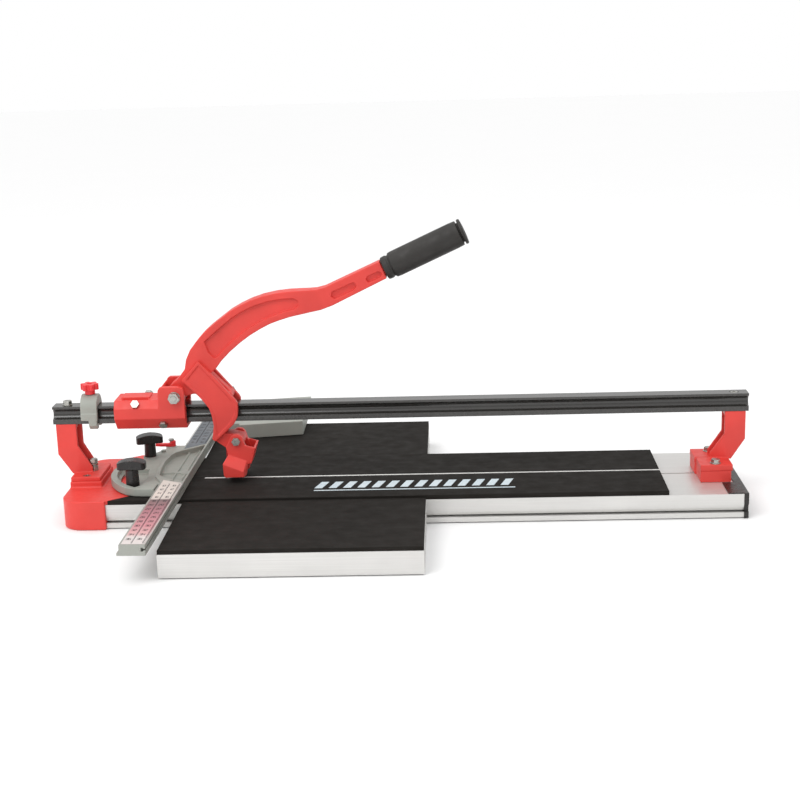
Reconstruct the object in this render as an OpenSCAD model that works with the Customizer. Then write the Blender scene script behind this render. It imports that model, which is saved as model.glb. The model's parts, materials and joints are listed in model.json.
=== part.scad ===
// Rail-guided manual tile cutter with a hinged scoring and breaking lever,
// a swinging measuring fence and two sliding side wings.
// Frame: millimetres, +X along the rail away from the fence, +Y to the back,
// +Z up, origin on the table under the middle of the rail and of the ridge.

/* [Rail] */
// Length of the guide rail
rail_len = 1180; // [1100:10:1300]
// Width of the rail's flanges
rail_w = 27.4; // [26:0.2:28]
// Height of the rail
rail_h = 30.5; // [28:0.5:32]
// Height of the rail's underside above the table
rail_z = 153.5; // [150:0.5:160]

/* [Base] */
// Width of the base extrusion, front to back
base_w = 240; // [220:2:260]
// Height of the extrusion's top face
base_top = 42; // [40:0.5:44]
// Thickness of the rubber pads
pad_t = 7.5; // [6:0.5:8]
// Left end of the extrusion
base_x0 = -486; // [-490:1:-480]
// Right end of the extrusion
base_x1 = 566; // [540:1:580]
// Right end of the rubber pads
pad_x1 = 444; // [400:1:480]
// Width of the breaking ridge
ridge_w = 5; // [4:0.5:6]

/* [Wings] */
// Length of a wing along the base
wing_len = 403; // [300:1:450]
// Left end of the wings
wing_x0 = -357; // [-357:1:-300]
// Distance of a wing's outer edge from the ridge
wing_out = 354; // [300:2:380]
// Height of a wing's extrusion
wing_top = 39.5; // [38:0.5:41]
// Thickness of a wing's rubber pad
wing_pad_t = 6.5; // [5:0.5:7]

/* [Fence] */
// Face that the tile rests against
fence_x = -358; // [-362:1:-356]
// Angle the fence stands off square, in degrees
fence_skew = 1.2; // [0:0.1:2]
// Width of the measuring rulers
ruler_w = 40; // [36:1:42]
// Height of the rulers
ruler_h = 17; // [15:1:18]
// Reach of each ruler from the ridge
ruler_reach = 386; // [340:2:400]
// Radius of the clamp slot's centre line
slot_r = 104; // [102:1:106]
// Width of the clamp slot
slot_w = 14; // [12:1:16]
// Outer radius of the protractor ring
ring_r = 127.5; // [124:0.5:128]
// Height of the protractor's top face
protractor_top = 64; // [62:1:66]
// Direction of the front clamp knob, from straight left towards the front
knob_front_deg = 41; // [38:1:42]

/* [Carriage] */
// Left end of the carriage
carriage_x0 = -479.5; // [-480:0.5:-470]
// Right end of the carriage
carriage_x1 = -358.5; // [-362:0.5:-356]
// Half width of the carriage
carriage_half = 35; // [34:0.5:36]
// Lever hinge, along the rail
hinge_x = -375; // [-377:1:-373]
// Lever hinge, above the table
hinge_z = 202; // [201:1:204]
// Diameter of the hinge bolt
hinge_d = 10; // [8:1:12]

/* [Lever] */
// Thickness of the handle arm
arm_t = 31; // [28:1:31]
// Half the arm's thickness where it meets the grip
arm_narrow = 13; // [11:0.5:14]
// Thickness of each yoke cheek
cheek_t = 8.5; // [7:0.5:8.5]
// Diameter of the grip
grip_d = 44; // [40:1:46]
// Length of the grip
grip_len = 138; // [120:1:140]
// Rise of the grip's axis in degrees
grip_tilt = 24.3; // [20:0.1:30]

/* [Breaking foot] */
// Foot hinge, along the rail
foot_x = -276.4; // [-278:0.2:-275]
// Foot hinge, above the table
foot_z = 120.6; // [119:0.2:122]
// Diameter of the foot's hinge bolt
foot_d = 8; // [6:1:8]
// Underside of the foot above the table
foot_sole_z = 60; // [58:1:62]
// Diameter of the scoring wheel
wheel_d = 22; // [18:1:22]

/* [Hidden] */
$fn = 48;

red = [0.86, 0.20, 0.18];
dark_red = [0.72, 0.10, 0.10];
alu = [0.86, 0.87, 0.87];
grey = [0.55, 0.56, 0.56];
black = [0.10, 0.10, 0.10];
zinc = [0.75, 0.75, 0.72];

half_rail = rail_len / 2;
rail_top = rail_z + rail_h;
half_base = base_w / 2;
pad_top = base_top + pad_t;
base_z0 = 2;
run_fit = 0.05;
ridge_depth = 5;
lap_tip_x = -364;
ridge_x0 = -338;
slot_z = 12;
slot_neck = 3;
slot_head = 12;
slot_recess = 5;
foot_strip_w = 16;
swing_x = fence_x - 12;
ruler_z0 = pad_top + 1;
ruler_top = ruler_z0 + ruler_h;
protractor_z0 = pad_top + 1;
protractor_front = -78;
protractor_back = 152;
ledge_z = 55;
cheek_in = arm_t / 2 + 0.2;
cheek_out = cheek_in + cheek_t;
ear_in = cheek_out + 1.3;
carriage_top = 196;
wheel_x = -284;
wheel_z = pad_top + 0.4 + wheel_d / 2;
knob_rear_x = swing_x - 80;
knob_rear_y = 87;
lock_x = swing_x - 53;
lock_y = 142;
collar_x0 = -539.5;
collar_w = 28;
collar_knob_x = collar_x0 + collar_w / 2;
stop_face_y = 262;
head_half = 125.5;
head_x0 = -562;
post_bolt_x = -535;
level_x = -529.5;

// ---- general shapes ----

// Extrudes a front-to-back section (first axis Y, second axis Z) along X
module along_x(x0, x1) {
    translate([x0, 0, 0]) rotate([90, 0, 90]) linear_extrude(height = x1 - x0) children();
}

// Extrudes a side view (first axis X, second axis Z) from y0 to y1
module along_y(y0, y1) {
    translate([0, y1, 0]) rotate([90, 0, 0]) linear_extrude(height = y1 - y0) children();
}

// A box from its low and high corners
module block(low, high) {
    translate(low) cube(high - low);
}

// A round bar along Y
module bar_y(x, z, y0, y1, d) {
    translate([x, y0, z]) rotate([-90, 0, 0]) cylinder(h = y1 - y0, d = d);
}

// A hexagonal head or nut standing on the origin along +Z
module hex_head(across_flats, height) {
    cylinder(h = height, d = across_flats / cos(30), $fn = 6);
}

// A rounded rectangle between two corners
module round_rect(low, high, r) {
    for (x = [low[0] + r, high[0] - r]) {
        for (y = [low[1] + r, high[1] - r]) translate([x, y]) circle(r = r);
    }
    translate([low[0] + r, low[1]]) square([high[0] - low[0] - 2 * r, high[1] - low[1]]);
    translate([low[0], low[1] + r]) square([high[0] - low[0], high[1] - low[1] - 2 * r]);
}

// A sector of a ring in plan, from angle a0 to a1
module ring_sector(r_in, r_out, a0, a1) {
    steps = ceil((a1 - a0) / 30);
    intersection() {
        difference() {
            circle(r = r_out, $fn = 96);
            circle(r = r_in, $fn = 96);
        }
        polygon(concat([[0, 0]],
            [for (i = [0:steps]) 1.3 * r_out * [cos(a0 + (a1 - a0) * i / steps),
            sin(a0 + (a1 - a0) * i / steps)]]));
    }
}

// Puts a part of the fence at the angle the fence stands at
module on_fence() {
    translate([swing_x, 0, 0]) rotate(-fence_skew) translate([-swing_x, 0, 0]) children();
}

// ---- base ----

// The side slot that a wing hooks into, as a cut in the extrusion's section
module side_slot() {
    neck_low = slot_z - slot_neck / 2;
    face = half_base - slot_recess;
    polygon([[half_base + 1, neck_low], [face, neck_low], [face, slot_z + 3], [half_base, slot_z + 12.5],
        [half_base + 1, slot_z + 12.5]]);
    translate([half_base - 8, neck_low]) square([8, slot_neck]);
    translate([half_base - 15, slot_z - slot_head / 2]) square([8, slot_head]);
}

module base_profile() {
    chamber_z = [6, 36.5];
    color(alu) along_x(base_x0, base_x1) difference() {
        translate([-half_base, base_z0]) square([base_w, base_top - base_z0]);
        for (side = [0, 1]) mirror([side, 0]) {
            side_slot();
            for (y = [6, 54]) translate([y, chamber_z[0]]) square([44, chamber_z[1] - chamber_z[0]]);
        }
        translate([-ridge_w / 2, base_top - ridge_depth]) square([ridge_w, ridge_depth + 1]);
        for (y = [-96, 0, 96]) {
            translate([y - foot_strip_w / 2, base_z0 - 1]) square([foot_strip_w, 3]);
        }
    }
}

module breaking_ridge() {
    color(alu) along_x(ridge_x0, pad_x1) polygon([
        [-ridge_w / 2, base_top - ridge_depth], [ridge_w / 2, base_top - ridge_depth],
        [ridge_w / 2, pad_top - 1], [1.2, pad_top], [-1.2, pad_top], [-ridge_w / 2, pad_top - 1]]);
}

// Plan of the head's top plate where it laps over the extrusion
module head_lap() {
    polygon([[base_x0 - 4, -half_base + 1], [base_x0 + 3, -half_base + 0.5], [-448, -92], [-421, -60],
        [-400, -18], [lap_tip_x, -14], [lap_tip_x, 14], [-400, 18], [-421, 60], [-430, 100],
        [-440, 138], [-474, 146], [-515, 116], [-520, 100], [base_x0 - 4, 90]]);
}

module pad(side) {
    gap = 1.5;
    inner = ridge_w / 2 + gap;
    linear_extrude(height = pad_t) difference() {
        mirror([0, side < 0 ? 1 : 0]) {
            translate([base_x0 + 1, inner]) square([pad_x1 - base_x0 - 1, half_base - 0.5 - inner]);
            translate([base_x0 + 1, 0.4]) square([ridge_x0 - 1 - base_x0, inner]);
        }
        offset(delta = 0.4) head_lap();
    }
}

module pad_front() {
    color(black) translate([0, 0, base_top]) pad(-1);
}

module pad_rear() {
    color(black) translate([0, 0, base_top]) pad(1);
}

// Plain printed mark on the front pad: a row of slanted bars over a long thin line
module pad_print() {
    bars = 14;
    pitch = 24;
    print_t = 0.3;
    color("white") translate([-142, 0, pad_top]) linear_extrude(height = print_t) {
        for (i = [0:bars - 1]) translate([i * pitch, 0]) {
            polygon([[0, -72], [13, -72], [23, -38], [10, -38]]);
        }
        translate([0, -86]) square([bars * pitch, 4]);
    }
}

// Plan of the head's body, drawn in by inset: straight at the right, two round corners at the left
module head_plan(inset) {
    corner_r = 36;
    x = head_x0 + corner_r;
    y = head_half - corner_r;
    for (side = [-1, 1]) translate([x, side * y]) circle(r = corner_r - inset, $fn = 96);
    translate([head_x0 + inset, -y]) square([base_x0 - head_x0 - inset, 2 * y]);
    translate([x, -head_half + inset]) square([base_x0 - x, 2 * (head_half - inset)]);
}

module base_head() {
    wall = 7;
    pedestal_top = 60;
    color(red) difference() {
        union() {
            translate([0, 0, 0.5]) linear_extrude(height = pad_top - 0.5) head_plan(0);
            translate([0, 0, base_top + 0.1]) linear_extrude(height = pad_t - 0.1) head_lap();
            block([-561, -46, pad_top - 1], [-507, 46, pedestal_top]);
        }
        translate([0, 0, -1]) linear_extrude(height = base_top - 5) intersection() {
            translate([head_x0, -head_half]) square([base_x0 - wall - head_x0, 2 * head_half]);
            head_plan(wall);
        }
        for (y = [-30, 30]) translate([post_bolt_x, y, 40]) cylinder(h = 30, d = 6.8);
        translate([level_x, 0, 40]) cylinder(h = 30, d = 8.5);
        translate(knob_front_pos(base_top + 1)) cylinder(h = 10, d = 8 + 2 * run_fit);
        translate([swing_x, 0, base_top - 1]) cylinder(h = 10, d = 8.02);
    }
}

function knob_front_pos(z) = [swing_x - slot_r * cos(knob_front_deg), -slot_r * sin(knob_front_deg), z];

module end_cap() {
    cap_t = 7.5;
    top_plate_t = 1.5;
    color(black) difference() {
        union() {
            along_x(base_x1, base_x1 + cap_t) difference() {
                translate([-half_base - 1, 1]) square([base_w + 2, base_top + top_plate_t - 1]);
                for (side = [-1, 1]) translate([side * (half_base + 0.5) - 3.5, slot_z]) square([7, 12]);
            }
            block([540, -half_base + 1, base_top], [base_x1 + 1, half_base - 1, base_top + top_plate_t]);
        }
        block([500, -60, base_top - 1], [559, 60, base_top + 3]);
    }
}

module base_foot_strips() {
    color(black) for (y = [-96, 0, 96]) {
        block([base_x0 + 12, y - foot_strip_w / 2 + 0.2, 0],
            [base_x1 - 12, y + foot_strip_w / 2 - 0.2, base_z0 + 2]);
    }
}

// ---- rail and posts ----

module rail_section() {
    groove_r = 9.2;
    difference() {
        translate([-rail_w / 2, rail_z]) square([rail_w, rail_h]);
        for (side = [-1, 1]) translate([side * 15.3, rail_z + 17.2]) circle(r = groove_r);
    }
}

module rail() {
    color(black) difference() {
        along_x(-half_rail, half_rail) rail_section();
        translate([-566, 0, rail_z - 1]) cylinder(h = rail_h + 2, d = 8.4);
        translate([567, 0, rail_z - 1]) cylinder(h = rail_h + 2, d = 8.4);
        translate([567, 0, rail_top - 5]) cylinder(h = 6, d = 15);
    }
}

// Side view of a post with its column at the left; heights run from flange_top to the rail
module post_side(column_x0, column_x1, toe_x, flange_top) {
    polygon([[column_x0, rail_z], [column_x1, rail_z], [column_x1, 114], [toe_x, flange_top + 9],
        [toe_x, flange_top - 2], [column_x0 + 23, flange_top - 2], [column_x0, flange_top + 33]]);
}

// Channel-section post: a web at the outside and two side walls, the rear one wider by rear_more
module post(column_x0, column_x1, toe_x, flange_top, rear_more) {
    half = 13.5;
    wall = 5.5;
    difference() {
        union() {
            along_y(-half, -half + wall) post_side(column_x0, column_x1, toe_x, flange_top);
            along_y(half - wall, half) {
                post_side(column_x0, column_x1 + rear_more, toe_x + rear_more, flange_top);
            }
        }
        // the gusset's faces fall away from the column
        for (side = [0, 1]) mirror([0, side, 0]) translate([column_x1, -half, flange_top]) rotate(6) {
            translate([0, -5, 0]) cube([50, 5, 60]);
        }
    }
    along_y(-half, half) {
        polygon([[column_x0, rail_z], [column_x0 + 7, rail_z], [column_x0 + 7, flange_top + 35],
            [column_x0 + 31, flange_top - 2], [column_x0 + 23, flange_top - 2],
            [column_x0, flange_top + 33]]);
        polygon([[column_x0, rail_z], [column_x1, rail_z], [column_x1, rail_z - 8],
            [column_x0, rail_z - 8]]);
    }
}

module post_left() {
    color(red) difference() {
        union() {
            post(-586, -551, -529, 67, 4.5);
            block([-560, -42.5, 60], [-509.5, 42.5, 67]);
        }
        translate([-566, 0, rail_z - 10]) cylinder(h = 12, d = 6.8);
        for (y = [-30, 30]) {
            translate([post_bolt_x, y, 55]) cylinder(h = 20, d = 8.4);
            translate([post_bolt_x, y, 62]) cylinder(h = 8, d = 13.5);
        }
        translate([level_x, 0, 55]) cylinder(h = 20, d = 8.5);
    }
}

module post_right() {
    color(red) difference() {
        union() {
            mirror([1, 0, 0]) post(-585.5, -550.5, -527, 72, 1);
            block([502, -7, 62], [558, 44, 72]);
            block([504.5, -56, 62], [558, -6, 72]);
        }
        block([500, -8, 70], [526, -6, 73]);
        translate([567, 0, rail_z - 10]) cylinder(h = 12, d = 6.8);
        for (y = post_right_bolts()) translate([531, y, 55]) cylinder(h = 20, d = 8.4);
    }
}

// Where the right post's two bolts stand, front and rear
function post_right_bolts() = [-44, 28];

module post_riser() {
    color(red) difference() {
        union() {
            block([502.5, -7, base_top], [556, 43.5, 61.9]);
            block([505, -55.5, base_top], [556, -6.5, 61.9]);
        }
        for (y = post_right_bolts()) translate([531, y, 40]) cylinder(h = 30, d = 6.8);
    }
}

// Socket screws sunk in the left post's flange
module post_screws_left() {
    color(zinc) for (y = [-30, 30]) translate([post_bolt_x, y, 62.1]) difference() {
        union() {
            cylinder(h = 4.4, d = 13);
            translate([0, 0, -18]) cylinder(h = 18.5, d = 6.6);
        }
        translate([0, 0, 2]) cylinder(h = 4, d = 5.8, $fn = 6);
    }
}

module post_bolts_right() {
    color(zinc) for (y = post_right_bolts()) translate([531, y, 72.05]) {
        cylinder(h = 1.6, d = 18);
        translate([0, 0, 1.5]) hex_head(13, 6);
        translate([0, 0, -26]) cylinder(h = 27, d = 6.6);
    }
}

// Tall levelling bolt with a washer and two nuts inside the left post
module levelling_bolt() {
    color(zinc) translate([level_x, 0, 67.05]) {
        cylinder(h = 1.6, d = 15.2);
        translate([0, 0, 1.5]) hex_head(13, 6.5);
        translate([0, 0, -22]) cylinder(h = 43, d = 8);
        translate([0, 0, 15]) hex_head(13, 5.5);
        translate([0, 0, 12]) cylinder(h = 1.6, d = 15.2);
    }
}

module rail_bolts() {
    color(zinc) {
        translate([-566, 0, rail_top + 0.05]) {
            cylinder(h = 1.6, d = 17);
            translate([0, 0, 1.5]) hex_head(13.5, 6.3);
            translate([0, 0, -rail_h - 9]) cylinder(h = rail_h + 10, d = 6.6);
        }
        translate([567, 0, rail_top - 4.9]) difference() {
            union() {
                cylinder(h = 5, d = 13);
                translate([0, 0, -rail_h - 3]) cylinder(h = rail_h + 3.5, d = 6.6);
            }
            translate([0, 0, 2]) cylinder(h = 4, d = 5.8, $fn = 6);
        }
    }
}

// ---- stop collar ----

module stop_collar() {
    x1 = collar_x0 + collar_w;
    arch_r = 22;
    arch_z = 181;
    lip = 1.2;
    color(grey) difference() {
        union() {
            along_x(collar_x0, x1) {
                translate([0, arch_z]) circle(r = arch_r, $fn = 72);
                translate([-arch_r, 175]) square([2 * arch_r, arch_z - 175]);
                polygon([[-arch_r + lip, 176], [-arch_r - lip, 172], [-arch_r - lip, 161],
                    [arch_r + lip, 161],
                    [arch_r + lip, 172], [arch_r - lip, 176]]);
            }
            along_x(collar_x0 + 13, x1 - 1) {
                polygon([[-arch_r - lip, 162], [-arch_r - lip, 152], [-17, 145], [17, 145],
                    [arch_r + lip, 152],
                    [arch_r + lip, 162]]);
            }
        }
        along_x(collar_x0 - 1, x1 + 1) {
            translate([-rail_w / 2 - 0.4, rail_z - 0.4]) square([rail_w + 0.8, rail_h + 0.8]);
            translate([-8, 140]) square([16, 15]);
        }
        translate([collar_knob_x, 0, rail_top - 1]) cylinder(h = 30, d = 8 + 2 * run_fit);
    }
}

// Star knob: a lobed head on a hub with its stud pointing down; z = 0 is the hub's foot
module star_knob(head_d, hub_d, hub_h, head_h, lobes, stud_d, stud_len) {
    difference() {
        union() {
            cylinder(h = hub_h + 0.5, d = hub_d);
            translate([0, 0, hub_h]) cylinder(h = head_h, d = head_d * 0.72);
            translate([0, 0, hub_h]) for (i = [0:lobes - 1]) rotate(i * 360 / lobes) {
                translate([head_d * 0.36, 0, 0]) cylinder(h = head_h, d = head_d * 0.28, $fn = 24);
            }
        }
        translate([0, 0, hub_h + head_h - 2]) cylinder(h = 3, d = hub_d * 0.5);
    }
    translate([0, 0, -stud_len]) cylinder(h = stud_len + 1, d = stud_d);
}

module stop_knob() {
    color(red) translate([collar_knob_x, 0, 203.2]) star_knob(31, 17.5, 7.5, 10.5, 6, 8, 18.9);
}

// ---- carriage ----

module carriage_section() {
    polygon([[-18, 144.5], [-carriage_half, 165.5], [-carriage_half, 183], [-26, carriage_top],
        [26, carriage_top], [carriage_half, 183], [carriage_half, 165.5], [18, 144.5]]);
}

module ear(x_left, top) {
    corner = 9;
    polygon([[x_left - 1, 176], [x_left - 1, 166], [carriage_x1, 166], [carriage_x1, top - corner],
        [carriage_x1 - 2, top - 3], [carriage_x1 - corner, top], [x_left + 5, top], [x_left + 1, top - 2],
        [x_left - 1, top - 6]]);
}

module carriage() {
    cavity_half = 20;
    plate_half = 16;
    color(red) difference() {
        union() {
            along_x(carriage_x0, carriage_x1) carriage_section();
            along_y(-carriage_half, -ear_in) ear(-402, 220);
            along_y(ear_in, carriage_half) ear(-397, 224);
            // web between the ears, left of the lever's hub
            along_y(-carriage_half + 1, carriage_half - 1) {
                polygon([[-402, carriage_top - 4], [-397, carriage_top - 4], [-397, 214], [-399, 217],
                    [-402, 214]]);
            }
            block([-469, -plate_half, carriage_top - 1], [-421, plate_half, carriage_top + 3.5]);
        }
        along_x(carriage_x0 - 1, carriage_x1 + 1) translate([-cavity_half, rail_z - 2.5]) {
            square([2 * cavity_half, rail_h + 5]);
        }
        block([-397, -ear_in, rail_top + 0.8], [carriage_x1 + 1, ear_in, carriage_top + 40]);
        // trough along the front of the raised plate
        block([-467, -plate_half - 6, carriage_top - 3.5], [-423, -plate_half, carriage_top + 1]);
        bar_y(hinge_x, hinge_z, -50, 50, hinge_d + 2 * run_fit);
        for (s = gib_places()) place_gib(s) translate([0, 0, -22]) cylinder(h = 30, d = 8.4);
    }
}

// Adjusting screws: position along the rail, side, upper or lower slope, and how far each stands out
function gib_places() = [[-443, -1, 1, 0], [-432, 1, 1, 3], [-398, -1, -1, 0], [-443, 1, -1, 0]];

module place_gib(s) {
    slope = s[2] > 0 ? [-30.5, 189.5, 55.3] : [-26.5, 155, 129];
    if (s[1] < 0) {
        translate([s[0], slope[0], slope[1]]) rotate([slope[2], 0, 0]) children();
    } else {
        translate([s[0], -slope[0], slope[1]]) rotate([-slope[2], 0, 0]) children();
    }
}

module slide_shoes() {
    color("tan") for (side = [-1, 1], z = [155.5, 171.5]) {
        y0 = side < 0 ? -19.9 : rail_w / 2 + 0.3;
        block([carriage_x0 + 6, y0, z], [carriage_x1 - 6, y0 + 5.9, z + 11]);
    }
}

module gib_screws() {
    color(zinc) for (s = gib_places()) place_gib(s) {
        translate([0, 0, s[3] + 0.1]) hex_head(13, 5.2);
        translate([0, 0, s[2] > 0 ? -11 : -5]) cylinder(h = s[3] + (s[2] > 0 ? 11.5 : 5.5), d = 8);
    }
}

module hinge_bolt() {
    color(zinc) {
        bar_y(hinge_x, hinge_z, -carriage_half - 11, carriage_half + 1, hinge_d);
        translate([hinge_x, carriage_half + 0.1, hinge_z]) rotate([-90, 0, 0]) hex_head(17, 6.5);
        bar_y(hinge_x, hinge_z, -carriage_half - 2, -carriage_half - 0.1, 20);
    }
}

module hinge_nut() {
    color(zinc) translate([hinge_x, -carriage_half - 10, hinge_z]) rotate([-90, 0, 0]) difference() {
        hex_head(17, 7.9);
        translate([0, 0, -1]) cylinder(h = 10, d = hinge_d + 0.02);
    }
}

// ---- lever ----

// Points on the arm's curved back (outer) and belly (inner), from the hinge to the grip
function arm_outer() = [[-391, 206], [-384, 219], [-372, 228], [-358, 246], [-355, 262], [-347, 279],
    [-335, 294],
    [-322, 308], [-309, 319], [-293, 331], [-276, 343.5], [-258, 353.5], [-240, 361.5], [-220, 368],
    [-198, 372.5],
    [-173, 375], [-148, 375.5], [-130, 376.5], [-116, 380], [-24, 421]];
function arm_inner() = [[-12, 393], [-104, 349], [-124, 342], [-142, 338.5], [-159, 335], [-176, 331.5],
    [-193, 326.5], [-210, 320.5], [-227, 312], [-244, 302], [-261, 290], [-279, 275], [-294, 260],
    [-304, 247],
    [-318, 235], [-321.5, 228], [-296, 196], [-292, 191], [-318, 190], [-328, 200], [-345, 203],
    [-359, 199]];

module handle_arm() {
    half = arm_t / 2;
    color(red) difference() {
        union() {
            along_y(-half, half) polygon(concat(arm_outer(), arm_inner()));
            bar_y(hinge_x, hinge_z, -half, half, 33);
            bar_y(hinge_x, hinge_z, -ear_in + 0.6, ear_in - 0.6, 26);
            for (b = yoke_bolt_places()) bar_y(b[0], b[1], -half, half, 15);
            // web that carries the lower boss, between the yoke's cheeks
            along_y(-8, 8) polygon([[-338, 240], [-330, 226], [-291, 192], [-281, 203], [-322, 246]]);
            on_grip_axis() translate([0, 0, -8]) cylinder(h = grip_len + 4, d = 20);
        }
        for (side = [-1, 1]) arm_pockets(side);
        bar_y(hinge_x, hinge_z, -50, 50, hinge_d + 2 * run_fit);
        for (b = yoke_bolt_places()) bar_y(b[0], b[1], -30, 30, 8.4);
        // the arm narrows towards the grip
        for (side = [0, 1]) mirror([0, side, 0]) translate([0, 0, 300]) linear_extrude(height = 220) {
            polygon([[-185, half], [-90, arm_narrow], [40, arm_narrow], [40, half + 5], [-185, half + 5]]);
        }
    }
}

// Where the grip's axis starts
function grip_base() = [-16, 0, 407];

// Long lightening pocket and two slots on one face of the arm
module arm_pockets(side) {
    depth = 6;
    half = arm_t / 2;
    mirror([0, side < 0 ? 1 : 0, 0]) along_y(half - depth, half + 1) {
        polygon([[-322, 292], [-310, 303], [-293, 317], [-275, 331], [-256, 342.5], [-236, 351.5],
            [-215, 358],
            [-193, 362], [-170, 363], [-162, 359], [-160, 350], [-168, 344.5], [-185, 341], [-205, 334],
            [-228, 324], [-250, 311], [-270, 296], [-288, 280], [-301, 266], [-307, 264], [-316, 274]]);
    }
    mirror([0, side < 0 ? 1 : 0, 0]) along_y(arm_narrow - depth, half + 1) {
        polygon([[-106, 364], [-100, 360], [-68, 374], [-63, 381], [-66, 387], [-72, 386], [-104, 372]]);
        polygon([[-47, 392], [-43, 386], [-22, 395], [-20, 402], [-26, 405], [-44, 397]]);
    }
}

// Outline of a yoke cheek, from its top corner round by the right to the tip
function cheek_outline() = [[-333, 261], [-312, 238.5], [-273, 191.5], [-270.5, 186], [-271, 168],
    [-273, 160],
    [-279, 150], [-311, 120.5], [-317, 124], [-315, 136], [-313.3, 149], [-315.5, 166], [-319.5, 179],
    [-327, 189.5],
    [-336, 201], [-346, 210], [-355.5, 220], [-363.5, 228]];

function yoke_bolt_places() = [[-330, 232], [-287, 198]];

// Two cheeks that straddle the rail, joined under it by a tongue
module yoke() {
    tongue = [[-314, 124], [-309.5, 117], [-296, 107], [-282, 102], [-268, 107], [-263, 118], [-266, 127],
        [-276, 130], [-291, 132], [-313, 134]];
    tip = [[-315, 125.5], [-311, 122], [-304, 128.5], [-312, 132]];
    color(red) difference() {
        union() {
            for (side = [0, 1]) mirror([0, side, 0]) along_y(cheek_in, cheek_out) polygon(cheek_outline());
            along_y(-cheek_in, cheek_in) polygon(tongue);
            along_y(-cheek_in - 3, cheek_in + 3) polygon(tip);
        }
        for (side = [0, 1]) mirror([0, side, 0]) along_y(cheek_out - 1.5, cheek_out + 1) {
            polygon([[-333, 254], [-315, 234], [-278, 189], [-276.5, 170], [-283, 155], [-308, 130],
                [-309, 149],
                [-311, 167], [-320, 186], [-332, 203], [-345, 216], [-355, 228]]);
        }
        for (b = yoke_bolt_places()) {
            bar_y(b[0], b[1], -cheek_in - 5, cheek_out + 1, 8.4);
            bar_y(b[0], b[1], cheek_out - 1.5, cheek_out + 1, 16);
        }
        bar_y(foot_x, foot_z, -30, 30, foot_d + 2 * run_fit);
        block([-290.1, -6.1, 90], [-273.9, 6.1, 112.1]);
    }
}

module yoke_bolts() {
    color(zinc) for (b = yoke_bolt_places()) {
        bar_y(b[0], b[1], -cheek_in - 4.8, cheek_out + 1, 8);
        translate([b[0], cheek_out - 1.4, b[1]]) rotate([-90, 0, 0]) hex_head(13, 5.3);
    }
}

module on_grip_axis() {
    translate(grip_base()) rotate([0, 90 - grip_tilt, 0]) children();
}

module grip() {
    r = grip_d / 2;
    color(black) on_grip_axis() difference() {
        rotate_extrude() polygon([[0, 0], [r - 4, 0], [r - 2.5, 1.5], [r - 2, 9], [r - 3.5, 10.5],
            [r - 3.5, 13],
            [r - 0.5, 15], [r, 22], [r, grip_len - 12], [r - 0.6, grip_len], [r - 5, grip_len],
            [r - 5, grip_len + 3],
            [0, grip_len + 3]]);
        translate([0, 0, -1]) cylinder(h = grip_len - 2, d = 20.2);
    }
}

module grip_cap() {
    r = grip_d / 2;
    z = grip_len + 3.1;
    color(black) on_grip_axis() rotate_extrude() {
        polygon([[0, z], [r - 0.5, z], [r, z + 0.8], [r, z + 3.6], [r - 1.2, z + 4.8],
            [r - 8, z + 5.4], [0, z + 5.4]]);
    }
}

// Blade under the tongue that carries the wheel in its slot
module wheel_holder() {
    axle_r = 2.5;
    color(dark_red) difference() {
        union() {
            block([-290, -6, 99], [-274, 6, 112]);
            along_y(-9, 9) polygon([[-297, 104.5], [-281.8, 100], [-266, 107], [-272, wheel_z - 3],
                [-275, wheel_z - 7], [-293, wheel_z - 7], [-296, wheel_z - 3]]);
        }
        block([wheel_x - 14, -2.6, 30], [wheel_x + 14, 2.6, wheel_z + wheel_d / 2 + 2]);
        bar_y(wheel_x, wheel_z, -20, 20, 2 * axle_r);
    }
}

module wheel_axle() {
    color(zinc) {
        bar_y(wheel_x, wheel_z, -10, 10.5, 4.98);
        bar_y(wheel_x, wheel_z, -11, -9.1, 9);
        bar_y(wheel_x, wheel_z, 9.1, 11, 8);
    }
}

module scoring_wheel() {
    r = wheel_d / 2;
    color(zinc) translate([wheel_x, 0, wheel_z]) rotate([90, 0, 0]) difference() {
        rotate_extrude($fn = 64) polygon([[0, -2.3], [4.5, -2.3], [4.5, -1.4], [r - 2.5, -1.4], [r, 0],
            [r - 2.5, 1.4], [4.5, 1.4], [4.5, 2.3], [0, 2.3]]);
        translate([0, 0, -5]) cylinder(h = 10, d = 5.08);
    }
}

// ---- breaking foot ----

module foot_ear(y0, y1) {
    along_y(y0, y1) {
        translate([foot_x, foot_z]) circle(r = 12);
        polygon([[-287, 124], [-294.8, 110], [-293, 104], [-291, 92], [-259.5, 79.5], [-252.2, 80.4],
            [-244.2, 108],
            [-261.9, 112.9], [-264.5, 122]]);
    }
}

// One sole lobe: it flares outwards below its ear
module foot_lobe(side) {
    inner = 13;
    plate = 24.5;
    face = 40;
    hull() mirror([0, side < 0 ? 1 : 0, 0]) {
        along_y(inner, plate) {
            polygon([[-296, foot_sole_z], [-293, 92], [-290.6, 97], [-260.1, 85.6], [-259, 78],
                [-262, foot_sole_z]]);
        }
        along_y(face - 2, face) {
            polygon([[-295.5, foot_sole_z + 0.6], [-298.5, 65], [-299.3, 84.9], [-264.7, 70.6],
                [-264.2, 61]]);
        }
    }
}

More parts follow.
